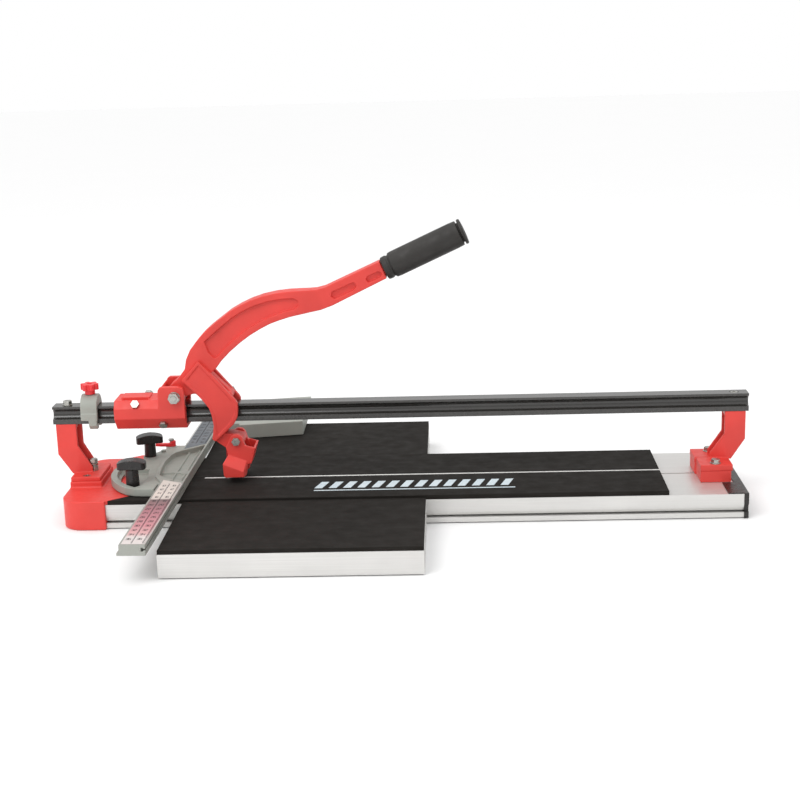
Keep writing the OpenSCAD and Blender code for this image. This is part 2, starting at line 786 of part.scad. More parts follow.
module breaker_foot() {
    ear_y = arm_t / 2 + 0.5;
    plate = 24.5;
    box_inner = 20.5;
    color(red) difference() {
        union() {
            foot_ear(-plate, -ear_y);
            foot_ear(ear_y, plate);
            for (side = [-1, 1]) foot_lobe(side);
            // end wall and floor of the spring box on the right
            along_y(-plate, plate) {
                polygon([[-248.4, 109.2], [-244.2, 108], [-252.2, 80.4], [-256.4, 80]]);
                polygon([[-261, 91], [-251, 88], [-252.2, 80.4], [-259.5, 79.5]]);
            }
        }
        along_y(-box_inner, box_inner) polygon([[-260.5, 92], [-253, 89.6], [-246, 114], [-246, 125],
            [-260.5, 125]]);
        bar_y(foot_x, foot_z, -60, 60, foot_d + 2 * run_fit);
    }
}

module foot_bolt() {
    reach = arm_t / 2 + 9;
    color(zinc) {
        bar_y(foot_x, foot_z, -reach - 1, reach + 8, foot_d);
        translate([foot_x, -reach - 5.4, foot_z]) rotate([-90, 0, 0]) hex_head(13, 5.3);
        translate([foot_x, reach + 0.1, foot_z]) rotate([-90, 0, 0]) hex_head(13, 6.3);
    }
}

// ---- fence ----

// Pin that the whole fence swings on: pressed into the head, running in a blind bore in the casting
module fence_pivot() {
    color(zinc) translate([swing_x, 0, 0]) {
        translate([0, 0, base_top]) cylinder(h = pad_t + 0.5, d = 8);
        translate([0, 0, pad_top + 0.05]) cylinder(h = 7.6, d = 10);
    }
}

// Plan of the protractor casting, relative to the swing axis
module protractor_plan() {
    face = fence_x - swing_x;
    difference() {
        union() {
            ring_sector(60, ring_r, 172, 229);
            polygon([[face, protractor_front], [-33, protractor_front], [-34, -105.6], [-52, -105.4],
                [-68, -103.5],
                [-83.6, -96.2], [-75, -86], [-60, -72], [-58, -34], [-80, 0], [-82, 45], [-90, 74],
                [-93, 87],
                [-89, 97], [-80, 100.5], [-72, 112], [-62, 131], [-58, 146], [-44, protractor_back],
                [face, protractor_back]]);
        }
        // curved slot that the front clamp knob's stud runs in
        ring_sector(slot_r - slot_w / 2, slot_r + slot_w / 2, 174, 230);
    }
}

// Pocket beside the rulers, relative to the swing axis
module pocket_plan() {
    polygon([[8.5, -75], [-23, -57], [-38, -37], [-42, -4], [-44.5, 43], [-41.5, 79], [-36.5, 96],
        [-27, 108.5],
        [-7, 127], [8.5, 146]]);
}

module protractor() {
    pocket_z = 57.2;
    rib_z = pocket_z + 3;
    mid = fence_x - 22;
    screw_y = [protractor_front + 6, protractor_back - 6];
    color(grey) on_fence() difference() {
        union() {
            translate([swing_x, 0, protractor_z0]) linear_extrude(height = protractor_top - protractor_z0) {
                protractor_plan();
            }
            // raised frame round the pocket beside the rulers
            translate([swing_x, 0, protractor_z0]) linear_extrude(height = ruler_top - protractor_z0) {
                polygon([[12, protractor_front], [-28, protractor_front], [-44, -46], [-48, -8],
                    [-50.5, 43],
                    [-47, 83], [-41, 101], [-28, 117], [-28, protractor_back], [12, protractor_back]]);
            }
            translate([lock_x, lock_y, protractor_z0]) cylinder(h = 15.5, d = 20);
            translate([swing_x - 61, 110, protractor_z0]) cylinder(h = 18, d = 9);
        }
        // wide recess round the front clamp knob, down to the ledge it grips
        translate([swing_x, 0, ledge_z]) linear_extrude(height = 20) intersection() {
            ring_sector(64, 116.5, 174, 234);
            translate([-130, -120]) square([71, 140]);
        }
        difference() {
            translate([swing_x, 0, pocket_z]) linear_extrude(height = 20) pocket_plan();
            // ribs of the pocket's floor
            block([fence_x - 30, -70, 50], [fence_x - 27, 150, rib_z]);
            block([fence_x - 14, -70, 50], [fence_x - 11, 150, rib_z - 1]);
            block([fence_x - 60, -3, 50], [fence_x, 3, rib_z]);
            translate([swing_x, 0, 50]) cylinder(h = rib_z - 50, d = 20);
        }
        // sockets for the joiner bars
        for (y = screw_y) block([mid - 11, y - 7.1, 54], [mid + 11, y + 7.1, 60]);
        for (y = screw_y) translate([mid, y, 55]) {
            cylinder(h = 20, d = 5.4);
            translate([0, 0, 8]) cylinder(h = 20, d = 8.6);
        }
        translate([swing_x, 0, 40]) cylinder(h = 58 - 40, d = 10 + 2 * run_fit);
        translate([knob_rear_x, knob_rear_y, 40]) cylinder(h = 40, d = 8 + 2 * run_fit);
        translate([lock_x, lock_y, 52]) cylinder(h = 40, d = 6 + 2 * run_fit);
    }
}

module ruler_section() {
    difference() {
        union() {
            translate([-ruler_w, ruler_z0]) square([ruler_w, ruler_h]);
            translate([-ruler_w - 4, ruler_z0]) square([5, 4]);
        }
        translate([-3.5, 58.5]) square([5, 3]);
        translate([-7, 57]) square([3.6, 6]);
        // shallow lines along the face
        for (z = [53, 64.6]) translate([-0.7, z]) square([1, 1.2]);
    }
}

// A ruler with a socket for its joiner bar at the end that meets the casting
module ruler(y0, y1, joint_y) {
    mid = fence_x - 22;
    on_fence() difference() {
        translate([fence_x, 0, 0]) along_y(y0, y1) ruler_section();
        block([mid - 11, joint_y - 38, 54], [mid + 11, joint_y + 38, 60]);
    }
}

module ruler_front() {
    color(grey) ruler(-ruler_reach, protractor_front - 0.1, protractor_front);
}

module ruler_rear() {
    color(grey) ruler(protractor_back + 0.1, ruler_reach, protractor_back);
}

// Flat bars that plug each ruler into the casting
module ruler_joiners() {
    mid = fence_x - 22;
    color(zinc) on_fence() for (y = [protractor_front - 12, protractor_back + 12]) {
        inward = y < 0 ? 18 : -18;
        difference() {
            block([mid - 10.9, y - 24.8, 54.1], [mid + 10.9, y + 24.8, 59.9]);
            translate([mid, y + inward, 50]) cylinder(h = 12, d = 4.98);
        }
    }
}

module scale_front() {
    color("white") on_fence() translate([swing_x, 0, ruler_top]) linear_extrude(height = 0.3) {
        polygon([[-25, 4 - ruler_reach], [9, 4 - ruler_reach], [9, -86], [-25, -68]]);
    }
}

module scale_rear() {
    color("white") on_fence() translate([swing_x, 0, ruler_top]) linear_extrude(height = 0.3) {
        polygon([[-25, 118], [9, 149.5], [9, ruler_reach - 6], [-25, ruler_reach - 6]]);
    }
}

module ruler_screws() {
    mid = fence_x - 22;
    color(zinc) on_fence() for (y = [protractor_front + 6, protractor_back - 6]) translate([mid, y, 54.3]) {
        cylinder(h = 9, d = 4.96);
        translate([0, 0, 8.8]) difference() {
            cylinder(h = 3, d = 8.2);
            translate([0, 0, 1.5]) cylinder(h = 3, d = 4.6, $fn = 6);
        }
    }
}

// T-handled clamp knob; z = 0 is the stem's foot
module clamp_knob(stem_d, stem_h, bar_len, bar_w, bar_h, stud_len, turn) {
    rotate(turn) difference() {
        union() {
            cylinder(h = stem_h + 2, d1 = stem_d, d2 = stem_d * 0.92);
            translate([0, 0, stem_h]) intersection() {
                linear_extrude(height = bar_h) round_rect([-bar_len / 2, -bar_w / 2],
                    [bar_len / 2, bar_w / 2], 7);
                translate([0, 0, bar_h - 56]) rotate([90, 0, 0]) cylinder(h = 60, r = 56,
                    center = true, $fn = 96);
            }
        }
        for (x = [-bar_len / 2 + 8, bar_len / 2 - 8]) {
            translate([x, 0, stem_h - 1]) cylinder(h = 5, d = 11);
        }
    }
    translate([0, 0, -stud_len]) cylinder(h = stud_len + 1, d = 8);
}

module clamp_knob_front() {
    lift = protractor_top - ledge_z;
    color(black) translate(knob_front_pos(ledge_z + 0.1)) clamp_knob(23, 25 + lift, 48, 24, 16, 11, 0);
}

module clamp_knob_rear() {
    color(black) on_fence() translate([knob_rear_x, knob_rear_y, protractor_top + 0.1]) {
        clamp_knob(21, 25, 47, 24, 16, 13, 15);
    }
}

// Lever with a round cap that locks the fence
module lock_lever() {
    color(red) on_fence() translate([lock_x, lock_y, 66.2]) {
        difference() {
            union() {
                cylinder(h = 6, d = 11);
                linear_extrude(height = 5) polygon([[0, -5], [0, 5], [-20, 4.5], [-29, 1.5],
                    [-29, -1.5], [-20, -4]]);
                translate([3, 0, 0]) cylinder(h = 10, d = 10);
            }
            translate([0, 0, -1]) cylinder(h = 14, d = 6 + 2 * run_fit);
        }
    }
}

module lock_screw() {
    color(zinc) on_fence() translate([lock_x, lock_y, 0]) {
        translate([0, 0, 53]) cylinder(h = 13 + 10.3, d = 6);
        translate([0, 0, 76.4]) hex_head(9, 3.5);
    }
}

// ---- repeat stop on the rear ruler ----

// Plan of the stop's plate, set askew to the rulers and measured from the swing axis
module stop_plan() {
    polygon([[54, 251], [172, 274.5], [168.5, 462], [54, 439.5]]);
}

module side_stop() {
    skin = 2.5;
    top = 74;
    bottom = 46.8;
    color(grey) on_fence() difference() {
        union() {
            translate([swing_x, 0, bottom]) linear_extrude(height = top - bottom) stop_plan();
            block([fence_x + 0.6, stop_face_y, 57], [fence_x + 45, stop_face_y + 28, top]);
            block([fence_x - 3.7, stop_face_y, 58.8], [fence_x + 1, stop_face_y + 28, 61.2]);
            block([fence_x - 6.6, stop_face_y, 57.4], [fence_x - 3.6, stop_face_y + 28, 62.6]);
        }
        translate([swing_x, 0, bottom - 1]) linear_extrude(height = top - skin - bottom + 1) {
            offset(delta = -skin) stop_plan();
        }
        translate([fence_x + 18, stop_face_y + 14, 50]) cylinder(h = 40, d = 6 + 2 * run_fit);
    }
}

module side_stop_screw() {
    color(black) on_fence() translate([fence_x + 18, stop_face_y + 14, 74.2]) star_knob(22, 12, 3, 8,
        6, 6, 20);
}

// ---- wings ----

// Section of the front wing; the rear one is its mirror image
module wing_section() {
    inner = half_base + 1;
    difference() {
        union() {
            translate([inner, base_z0]) square([wing_out - inner, wing_top - base_z0]);
            translate([half_base - 7.6, slot_z - 1.2]) square([9, 2.4]);
            translate([half_base - 14.2, slot_z - 5.4]) square([6.6, 10.8]);
        }
        for (i = [0:4]) translate([inner + 5 + i * 45.6, 6]) square([41.6, wing_top - 10]);
        for (y = [inner + 14, wing_out - 22]) translate([y - foot_strip_w / 2 + 8,
            1]) square([foot_strip_w, 2.5]);
    }
}

module wing_frame() {
    along_x(wing_x0, wing_x0 + wing_len) wing_section();
}

module wing_pad() {
    block([wing_x0 + 0.5, half_base + 1, wing_top],
        [wing_x0 + wing_len - 0.5, wing_out - 0.5, wing_top + wing_pad_t]);
}

module wing_feet() {
    inner = half_base + 1;
    for (y = [inner + 14, wing_out - 22]) {
        block([wing_x0 + 12, y + 0.2, 0], [wing_x0 + wing_len - 12, y + foot_strip_w - 0.2, 3.5]);
    }
}

module wing_front() {
    color(alu) mirror([0, 1, 0]) wing_frame();
}

module wing_front_pad() {
    color(black) mirror([0, 1, 0]) wing_pad();
}

module wing_front_feet() {
    color(black) mirror([0, 1, 0]) wing_feet();
}

module wing_rear() {
    color(alu) wing_frame();
}

module wing_rear_pad() {
    color(black) wing_pad();
}

module wing_rear_feet() {
    color(black) wing_feet();
}

base_profile();
breaking_ridge();
pad_front();
pad_rear();
pad_print();
base_head();
end_cap();
base_foot_strips();
rail();
post_left();
post_right();
post_riser();
post_screws_left();
post_bolts_right();
levelling_bolt();
rail_bolts();
fence_pivot();
stop_collar();
stop_knob();
carriage();
slide_shoes();
gib_screws();
hinge_bolt();
hinge_nut();
handle_arm();
yoke();
yoke_bolts();
grip();
grip_cap();
wheel_holder();
wheel_axle();
scoring_wheel();
breaker_foot();
foot_bolt();
protractor();
ruler_front();
ruler_rear();
scale_front();
scale_rear();
ruler_joiners();
ruler_screws();
clamp_knob_front();
clamp_knob_rear();
lock_lever();
lock_screw();
side_stop();
side_stop_screw();
wing_front();
wing_front_pad();
wing_front_feet();
wing_rear();
wing_rear_pad();
wing_rear_feet();
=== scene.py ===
"""The looks of the tile cutter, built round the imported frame.

Everything is in metres in the frame's own axes: +X along the rail, +Y to the back, +Z up.
"""

import json
import math

import bmesh
import bpy
from mathutils import Matrix, Vector


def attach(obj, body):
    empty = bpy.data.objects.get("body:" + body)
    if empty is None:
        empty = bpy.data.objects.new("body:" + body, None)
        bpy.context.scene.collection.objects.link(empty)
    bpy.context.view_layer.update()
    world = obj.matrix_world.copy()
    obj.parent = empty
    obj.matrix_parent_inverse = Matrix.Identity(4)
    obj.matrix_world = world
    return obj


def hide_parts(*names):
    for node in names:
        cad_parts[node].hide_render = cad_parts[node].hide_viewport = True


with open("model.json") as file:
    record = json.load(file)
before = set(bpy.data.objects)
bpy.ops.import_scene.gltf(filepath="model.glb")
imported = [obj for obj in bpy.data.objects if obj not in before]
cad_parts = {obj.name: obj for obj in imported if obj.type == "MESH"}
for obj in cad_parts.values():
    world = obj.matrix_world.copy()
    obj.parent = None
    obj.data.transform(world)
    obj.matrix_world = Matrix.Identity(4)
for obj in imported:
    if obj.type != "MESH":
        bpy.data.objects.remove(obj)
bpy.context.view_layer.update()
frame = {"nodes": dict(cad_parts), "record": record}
NODES = frame["nodes"]
RECORD = frame["record"]
BODY_OF = {node: body for body, members in RECORD["behaviour"]["bodies"].items() for node in members}
JOINTS = {joint["name"]: joint for joint in RECORD["behaviour"]["joints"]}
SLOT_OF = {part["node"]: part["material_slot"] for part in RECORD["subparts"]}
MM = 0.001

bpy.context.scene.view_settings.view_transform = "Standard"


# ---- materials ----

class Shader:
    """A Principled material built by short calls, with patterns in object coordinates in metres."""

    def __init__(self, name, rough=0.5, metallic=0.0, ior=1.45, coat=0.0):
        self.material = bpy.data.materials.new(name)
        self.material.use_nodes = True
        self.tree = self.material.node_tree
        self.shader = self.tree.nodes["Principled BSDF"]
        self.shader.inputs["Roughness"].default_value = rough
        self.shader.inputs["Metallic"].default_value = metallic
        self.shader.inputs["IOR"].default_value = ior
        self.shader.inputs["Coat Weight"].default_value = coat
        self.shader.inputs["Coat Roughness"].default_value = 0.25
        self.place = self.tree.nodes.new("ShaderNodeTexCoord").outputs["Object"]

    def link(self, output, target):
        self.tree.links.new(output, target)

    def noise(self, per_metre, detail=3.0, stretch=(1, 1, 1)):
        """Noise with about per_metre blotches in a metre, drawn out along an axis by a small stretch."""
        mapping = self.tree.nodes.new("ShaderNodeMapping")
        mapping.inputs["Scale"].default_value = [per_metre * s for s in stretch]
        self.link(self.place, mapping.inputs["Vector"])
        texture = self.tree.nodes.new("ShaderNodeTexNoise")
        texture.inputs["Scale"].default_value = 1.0
        texture.inputs["Detail"].default_value = detail
        self.link(mapping.outputs["Vector"], texture.inputs["Vector"])
        return texture.outputs["Fac"]

    def spread(self, factor, low, high, start=0.3, stop=0.7):
        """Maps a factor between start and stop to values between low and high."""
        node = self.tree.nodes.new("ShaderNodeMapRange")
        node.inputs["From Min"].default_value = start
        node.inputs["From Max"].default_value = stop
        node.inputs["To Min"].default_value = low
        node.inputs["To Max"].default_value = high
        self.link(factor, node.inputs["Value"])
        return node.outputs["Result"]

    def mix(self, factor, first, second):
        """A colour between first and second, each a colour or an output."""
        node = self.tree.nodes.new("ShaderNodeMix")
        node.data_type = "RGBA"
        self.link(factor, node.inputs["Factor"])
        for value, socket in ((first, node.inputs[6]), (second, node.inputs[7])):
            if isinstance(value, tuple):
                socket.default_value = (*value, 1.0)
            else:
                self.link(value, socket)
        return node.outputs[2]

    def worn_edges(self, amount):
        """A factor that is high on sharp outer edges, broken up by noise."""
        geometry = self.tree.nodes.new("ShaderNodeNewGeometry")
        edge = self.spread(geometry.outputs["Pointiness"], 0.0, amount, 0.53, 0.62)
        broken = self.spread(self.noise(260), 0.0, 1.0, 0.42, 0.6)
        node = self.tree.nodes.new("ShaderNodeMath")
        node.operation = "MULTIPLY"
        self.link(edge, node.inputs[0])
        self.link(broken, node.inputs[1])
        return node.outputs[0]

    def bump(self, height, depth, under=None):
        """A normal raised by up to depth metres, laid over another bump where one is given."""
        node = self.tree.nodes.new("ShaderNodeBump")
        node.inputs["Strength"].default_value = 1.0
        node.inputs["Distance"].default_value = depth
        self.link(height, node.inputs["Height"])
        if under is not None:
            self.link(under, node.inputs["Normal"])
        return node.outputs["Normal"]

    def finish(self, colour, roughness=None, normal=None):
        """Joins the parts to the shader and returns the material."""
        self.link(colour, self.shader.inputs["Base Color"])
        if roughness is not None:
            self.link(roughness, self.shader.inputs["Roughness"])
        if normal is not None:
            self.link(normal, self.shader.inputs["Normal"])
        return self.material


def painted_casting(name, colour, worn, rough=0.42, grain=0.00003, wear=0.5):
    """Powder-coated casting: fine orange-peel, slow tone changes, lighter where edges have rubbed."""
    s = Shader(name, rough=rough)
    dark = tuple(c * 0.86 for c in colour)
    tone = s.mix(s.spread(s.noise(14), 0.0, 1.0), colour, dark)
    tone = s.mix(s.worn_edges(wear), tone, worn)
    roughness = s.spread(s.noise(90), rough - 0.07, rough + 0.1)
    peel = s.bump(s.noise(850, 2.0), grain)
    return s.finish(tone, roughness, s.bump(s.noise(30, 1.0), grain * 2, peel))


def bare_aluminium(name, colour, along, rough=0.34, metallic=0.6):
    """Anodised extrusion with die lines along its length."""
    s = Shader(name, rough=rough, metallic=metallic)
    lines = s.noise(900, 2.0, along)
    clouds = s.spread(s.noise(10), 0.0, 1.0)
    tone = s.mix(clouds, colour, tuple(c * 0.93 for c in colour))
    tone = s.mix(s.spread(lines, 0.0, 0.35), tone, tuple(c * 0.8 for c in colour))
    roughness = s.spread(lines, rough - 0.06, rough + 0.12)
    return s.finish(tone, roughness, s.bump(lines, 0.00002))


def black_anodised():
    """Smooth black rail that mirrors its surround at a grazing angle."""
    s = Shader("rail_black", rough=0.18, ior=1.5, coat=0.6)
    lines = s.noise(900, 2.0, (0.01, 1, 1))
    tone = s.mix(s.spread(s.noise(16), 0.0, 1.0), (0.020, 0.018, 0.016), (0.027, 0.025, 0.022))
    # Lighter sharp edges: partly edge wear, partly a painted highlight along the rail's flange edges.
    tone = s.mix(s.worn_edges(0.25), tone, (0.15, 0.14, 0.13))
    scuffs = s.spread(s.noise(60, 4.0, (0.15, 1, 1)), 0.14, 0.26)
    return s.finish(tone, scuffs, s.bump(lines, 0.000015))


def pad_rubber():
    """Near-black cellular rubber, rolled along the base, with fine streaks and dust."""
    s = Shader("pad_rubber", rough=0.85, ior=1.3)
    streaks = s.noise(700, 4.0, (0.03, 1, 1))
    clouds = s.spread(s.noise(9, 4.0), 0.0, 1.0)
    tone = s.mix(clouds, (0.0095, 0.0078, 0.0062), (0.0135, 0.0112, 0.0092))
    tone = s.mix(s.spread(streaks, 0.0, 0.6, 0.45, 0.75), tone, (0.024, 0.021, 0.018))
    cells = s.bump(s.noise(1500, 2.0), 0.00006)
    roughness = s.spread(s.noise(40), 0.74, 0.94)
    return s.finish(tone, roughness, s.bump(streaks, 0.00008, cells))


def plain_rubber(name, colour, rough=0.7):
    """Matte, finely grained rubber or ink."""
    s = Shader(name, rough=rough, ior=1.45)
    tone = s.mix(s.spread(s.noise(20), 0.0, 1.0), colour, tuple(c * 1.35 for c in colour))
    grain = s.bump(s.noise(1300, 2.0), 0.00005)
    return s.finish(tone, s.spread(s.noise(70), rough - 0.1, rough + 0.12), grain)


def moulded_plastic(name, colour, rough=0.42):
    """Satin plastic with a fine texture and slightly polished edges."""
    s = Shader(name, rough=rough, ior=1.5)
    tone = s.mix(s.spread(s.noise(30), 0.0, 1.0), colour, tuple(c * 1.25 for c in colour))
    tone = s.mix(s.worn_edges(0.3), tone, tuple(min(1.0, c * 1.8 + 0.012) for c in colour))
    texture = s.bump(s.noise(2200, 2.0), 0.00003)
    return s.finish(tone, s.spread(s.noise(120), rough - 0.08, rough + 0.1), texture)


def zinc_plate():
    """Dull zinc on screws and nuts, with darker specks."""
    s = Shader("zinc_plate", rough=0.34, metallic=1.0)
    clouds = s.spread(s.noise(160), 0.0, 1.0)
    tone = s.mix(clouds, (0.50, 0.50, 0.47), (0.40, 0.39, 0.36))
    tone = s.mix(s.spread(s.noise(420), 0.0, 0.5, 0.55, 0.75), tone, (0.26, 0.25, 0.22))
    return s.finish(tone, s.spread(s.noise(300), 0.22, 0.42), s.bump(s.noise(1800), 0.00002))


def hard_steel():
    """Ground steel of the scoring wheel."""
    s = Shader("hard_steel", rough=0.18, metallic=1.0)
    rings = s.noise(1500, 2.0)
    tone = s.mix(s.spread(s.noise(200), 0.0, 1.0), (0.70, 0.70, 0.71), (0.55, 0.55, 0.56))
    return s.finish(tone, s.spread(rings, 0.12, 0.3), s.bump(rings, 0.00001))


def print_film():
    """The pale ink of the pad's print, thinned a little by the rubber's grain."""
    s = Shader("pad_ink", rough=0.55)
    speckle = s.spread(s.noise(1100, 3.0), 0.0, 0.5, 0.52, 0.72)
    tone = s.mix(s.spread(s.noise(25), 0.0, 1.0), (0.60, 0.70, 0.76), (0.68, 0.76, 0.80))
    tone = s.mix(speckle, tone, (0.30, 0.34, 0.36))
    return s.finish(tone, s.spread(s.noise(90), 0.45, 0.65), s.bump(s.noise(1500), 0.00004))


def ruler_film(name, zones):
    """Measuring film whose colour runs through zones, each a place along the ruler in metres and a colour."""
    s = Shader(name, rough=0.4, ior=1.45)
    split = s.tree.nodes.new("ShaderNodeSeparateXYZ")
    s.link(s.place, split.inputs["Vector"])
    tone = zones[0][1]
    for (start, _), (stop, colour) in zip(zones, zones[1:]):
        tone = s.mix(s.spread(split.outputs["Y"], 0.0, 1.0, start, stop), tone, colour)
    tone = s.mix(s.spread(s.noise(45), 0.0, 0.22), tone, (0.35, 0.33, 0.33))
    return s.finish(tone, s.spread(s.noise(140), 0.32, 0.5), s.bump(s.noise(1200), 0.00002))


RED = (0.80, 0.062, 0.050)
GREY = (0.36, 0.375, 0.335)
MATERIALS = {
    "aluminium_profile": bare_aluminium("aluminium_profile", (0.74, 0.73, 0.71), (0.008, 1, 1)),
    "red_casting": painted_casting("red_casting", RED, (0.86, 0.20, 0.16)),
    "dark_red_part": painted_casting("dark_red_part", (0.42, 0.012, 0.012), (0.60, 0.10, 0.08)),
    "grey_casting": painted_casting("grey_casting", GREY, (0.58, 0.59, 0.55), rough=0.5, grain=0.00004),
    "black_rail": black_anodised(),
    "rubber_pad": pad_rubber(),
    "rubber_foot": plain_rubber("rubber_foot", (0.02, 0.02, 0.02)),
    "white_print": print_film(),
    "black_plastic": moulded_plastic("black_plastic", (0.011, 0.0095, 0.009), 0.3),
    "red_plastic": moulded_plastic("red_plastic", (0.66, 0.025, 0.03), 0.35),
    "grip_rubber": plain_rubber("grip_rubber", (0.022, 0.020, 0.018), 0.55),
    "zinc": zinc_plate(),
    "steel": hard_steel(),
    "shoe_plastic": moulded_plastic("shoe_plastic", (0.55, 0.48, 0.36)),
}
RULER_GREY = bare_aluminium("ruler_grey", (0.38, 0.39, 0.355), (1, 0.008, 1), 0.42, 0.3)
FILM_FRONT = ruler_film("film_front", [(-0.060, (0.72, 0.66, 0.60)), (-0.168, (0.70, 0.63, 0.57)),
                                       (-0.174, (0.17, 0.11, 0.11)), (-0.228, (0.40, 0.16, 0.19)),
                                       (-0.300, (0.60, 0.25, 0.28)), (-0.338, (0.68, 0.40, 0.40)),
                                       (-0.352, (0.72, 0.66, 0.64))])
FILM_REAR = ruler_film("film_rear", [(0.120, (0.085, 0.10, 0.12)), (0.300, (0.07, 0.085, 0.10))])
INK = plain_rubber("scale_ink", (0.03, 0.028, 0.03), 0.5)


# ---- pieces ----

def settle(obj):
    """Replaces obj's mesh with the result of its modifiers."""
    depsgraph = bpy.context.evaluated_depsgraph_get()
    mesh = bpy.data.meshes.new_from_object(obj.evaluated_get(depsgraph))
    obj.modifiers.clear()
    obj.data = mesh


def add_piece(name, mesh, material, body):
    """Adds a smooth-shaded mesh that rides on a body."""
    obj = bpy.data.objects.new(name, mesh)
    bpy.context.scene.collection.objects.link(obj)
    mesh.materials.clear()
    mesh.materials.append(material)
    mesh.polygons.foreach_set("use_smooth", [True] * len(mesh.polygons))
    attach(obj, body)
    return obj


def cast(node, voxel, soften, triangles):
    """A soft-edged copy of a CAD node, as it comes out of a mould, which stands for the node."""
    work = bpy.data.objects.new(node + "_work", NODES[node].data.copy())
    bpy.context.scene.collection.objects.link(work)
    bm = bmesh.new()
    bm.from_mesh(work.data)
    bmesh.ops.remove_doubles(bm, verts=bm.verts, dist=1e-6)
    bm.to_mesh(work.data)
    bm.free()
    remesh = work.modifiers.new("remesh", "REMESH")
    remesh.mode = "VOXEL"
    remesh.voxel_size = voxel * MM
    smooth = work.modifiers.new("smooth", "SMOOTH")
    smooth.factor = 0.5
    smooth.iterations = soften
    settle(work)
    made = 2 * len(work.data.polygons)
    decimate = work.modifiers.new("decimate", "DECIMATE")
    decimate.ratio = min(1.0, triangles / made)
    settle(work)
    mesh = work.data
    bpy.data.objects.remove(work)
    piece = add_piece(node + "_cast", mesh, MATERIALS[SLOT_OF[node]], BODY_OF[node])
    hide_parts(node)
    return piece


def crisp(node, width, material=None):
    """Gives a CAD node its material and small broken edges; its shape stays."""
    obj = NODES[node]
    obj.data.materials.clear()
    obj.data.materials.append(material or MATERIALS[SLOT_OF[node]])
    weld = obj.modifiers.new("weld", "WELD")
    weld.merge_threshold = 1e-6
    flat = obj.modifiers.new("flat", "DECIMATE")
    flat.decimate_type = "DISSOLVE"
    flat.angle_limit = math.radians(0.3)
    bevel = obj.modifiers.new("bevel", "BEVEL")
    bevel.width = width * MM
    bevel.segments = 2
    bevel.limit_method = "ANGLE"
    bevel.angle_limit = math.radians(30)
    obj.modifiers.new("normals", "WEIGHTED_NORMAL")


# Nodes that keep the CAD's shape, by the width of their broken edges in millimetres
CRISP = {
    0.8: ("pad_front", "pad_rear", "wing_front_pad", "wing_rear_pad"),
    0.5: ("base_foot_strips", "wing_front_feet", "wing_rear_feet", "end_cap", "rail", "slide_shoes"),
    0.4: ("base_profile", "wing_front", "wing_rear", "breaking_ridge", "ruler_front", "ruler_rear"),
    0.35: ("ruler_joiners", "gib_screws", "hinge_bolt", "hinge_nut", "yoke_bolts", "foot_bolt", "wheel_axle",
           "rail_bolts", "post_bolts_right", "post_screws_left", "levelling_bolt", "fence_pivot",
           "ruler_screws", "lock_screw"),
    0.05: ("pad_print", "scale_front", "scale_rear"),
    0.03: ("scoring_wheel",),
}
OWN_MATERIAL = {"ruler_front": RULER_GREY, "ruler_rear": RULER_GREY,
                "scale_front": FILM_FRONT, "scale_rear": FILM_REAR}
# Castings and mouldings with soft edges: voxel in millimetres, smoothing steps and most triangles
CAST = {
    "base_head": (1.2, 5, 40000), "post_left": (0.9, 5, 30000), "post_right": (0.9, 5, 30000),
    "post_riser": (0.9, 5, 8000), "carriage": (0.8, 5, 40000), "handle_arm": (0.8, 8, 60000),
    "yoke": (0.7, 6, 40000), "breaker_foot": (0.6, 6, 30000), "wheel_holder": (0.5, 4, 8000),
    "protractor": (0.8, 4, 50000), "stop_collar": (0.6, 5, 16000), "stop_knob": (0.45, 5, 14000),
    "lock_lever": (0.4, 3, 6000), "side_stop_screw": (0.45, 4, 10000),
    "clamp_knob_front": (0.6, 8, 16000), "clamp_knob_rear": (0.6, 8, 16000),
    "side_stop": (0.9, 4, 20000), "grip": (0.8, 3, 24000), "grip_cap": (0.6, 4, 8000),
}
for edge_width, nodes in CRISP.items():
    for node in nodes:
        crisp(node, edge_width, OWN_MATERIAL.get(node))
for node, settings in CAST.items():
    cast(node, *settings)


# ---- marks on the rulers ----

# Bars of a seven-bar digit: centre across and along, then width and length, as parts of the digit's size
DIGIT_BARS = {"top": (0, 0.92, 1, 0.14), "middle": (0, 0, 1, 0.14), "bottom": (0, -0.92, 1, 0.14),
              "upper_left": (-1, 0.46, 0.34, 0.56), "upper_right": (1, 0.46, 0.34, 0.56),
              "lower_left": (-1, -0.46, 0.34, 0.56), "lower_right": (1, -0.46, 0.34, 0.56)}
DIGIT_GAPS = {0: ["middle"], 1: ["top", "middle", "bottom", "upper_left", "lower_left"],
              2: ["upper_left", "lower_right"], 3: ["upper_left", "lower_left"],
              4: ["top", "bottom", "lower_left"], 5: ["upper_right", "lower_left"], 6: ["upper_right"],
              7: ["middle", "bottom", "upper_left", "lower_left"], 8: [], 9: ["lower_left"]}
FENCE_ALONG = Vector(JOINTS["side_stop_slide"]["axis"])
FENCE_ACROSS = FENCE_ALONG.cross(Vector((0, 0, 1)))
SWING_AXIS = Vector((*JOINTS["fence_swing"]["pos_m"][:2], 0))
FILM_TOP = 67.8
FILM_LIFT = 0.06
TICK_COLUMNS = (-9.0, 8.2)
NUMBER_COLUMNS = (-18.6, -1.6)


def fence_place(x, y, z):
    """A place in metres from millimetres measured from the fence's swing axis, along its own axes."""
    return SWING_AXIS + x * MM * FENCE_ACROSS + y * MM * FENCE_ALONG + Vector((0, 0, z * MM))


